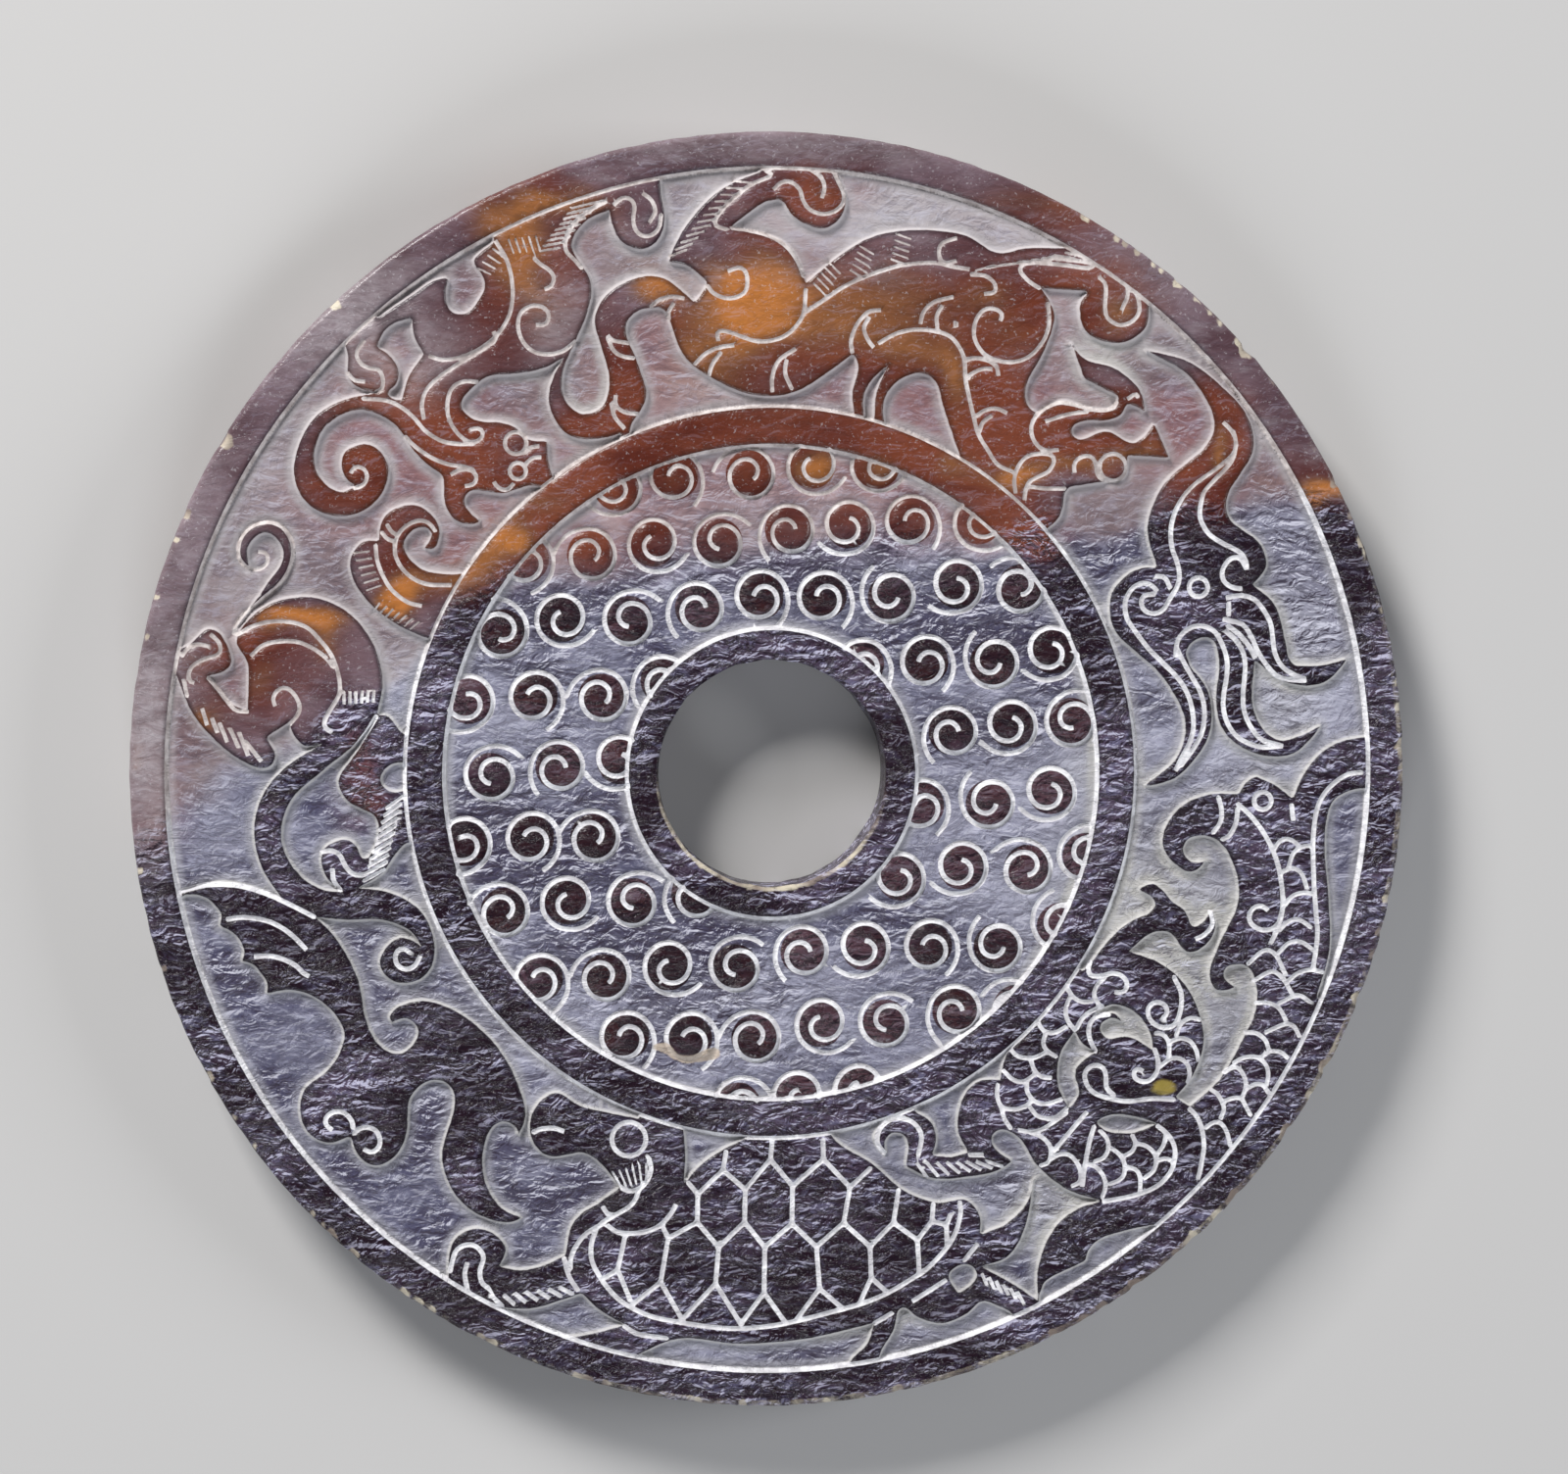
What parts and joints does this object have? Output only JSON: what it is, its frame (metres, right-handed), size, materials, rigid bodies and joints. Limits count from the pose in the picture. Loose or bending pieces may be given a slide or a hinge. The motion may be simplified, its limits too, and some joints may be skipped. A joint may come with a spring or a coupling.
{
  "type": "jade bi disc",
  "caption": "Flat round jade disc with a central bore, carved on one face with four spirit beasts round a field of curled grains.",
  "frame": {"origin": "centre of the plain back, on the axis of the bore", "axes": "+Z out of the carved face along the bore, +Y towards the top of the carving (the striding beast), +X to its right"},
  "size_m": [0.17, 0.17, 0.009],
  "materials": {
    "jade": "polished dark aubergine jade with amber zones at the top, frosted lavender-white ground in the carving"
  },
  "bodies": {
    "root": {"jade_disc": "jade"}
  },
  "joints": []
}
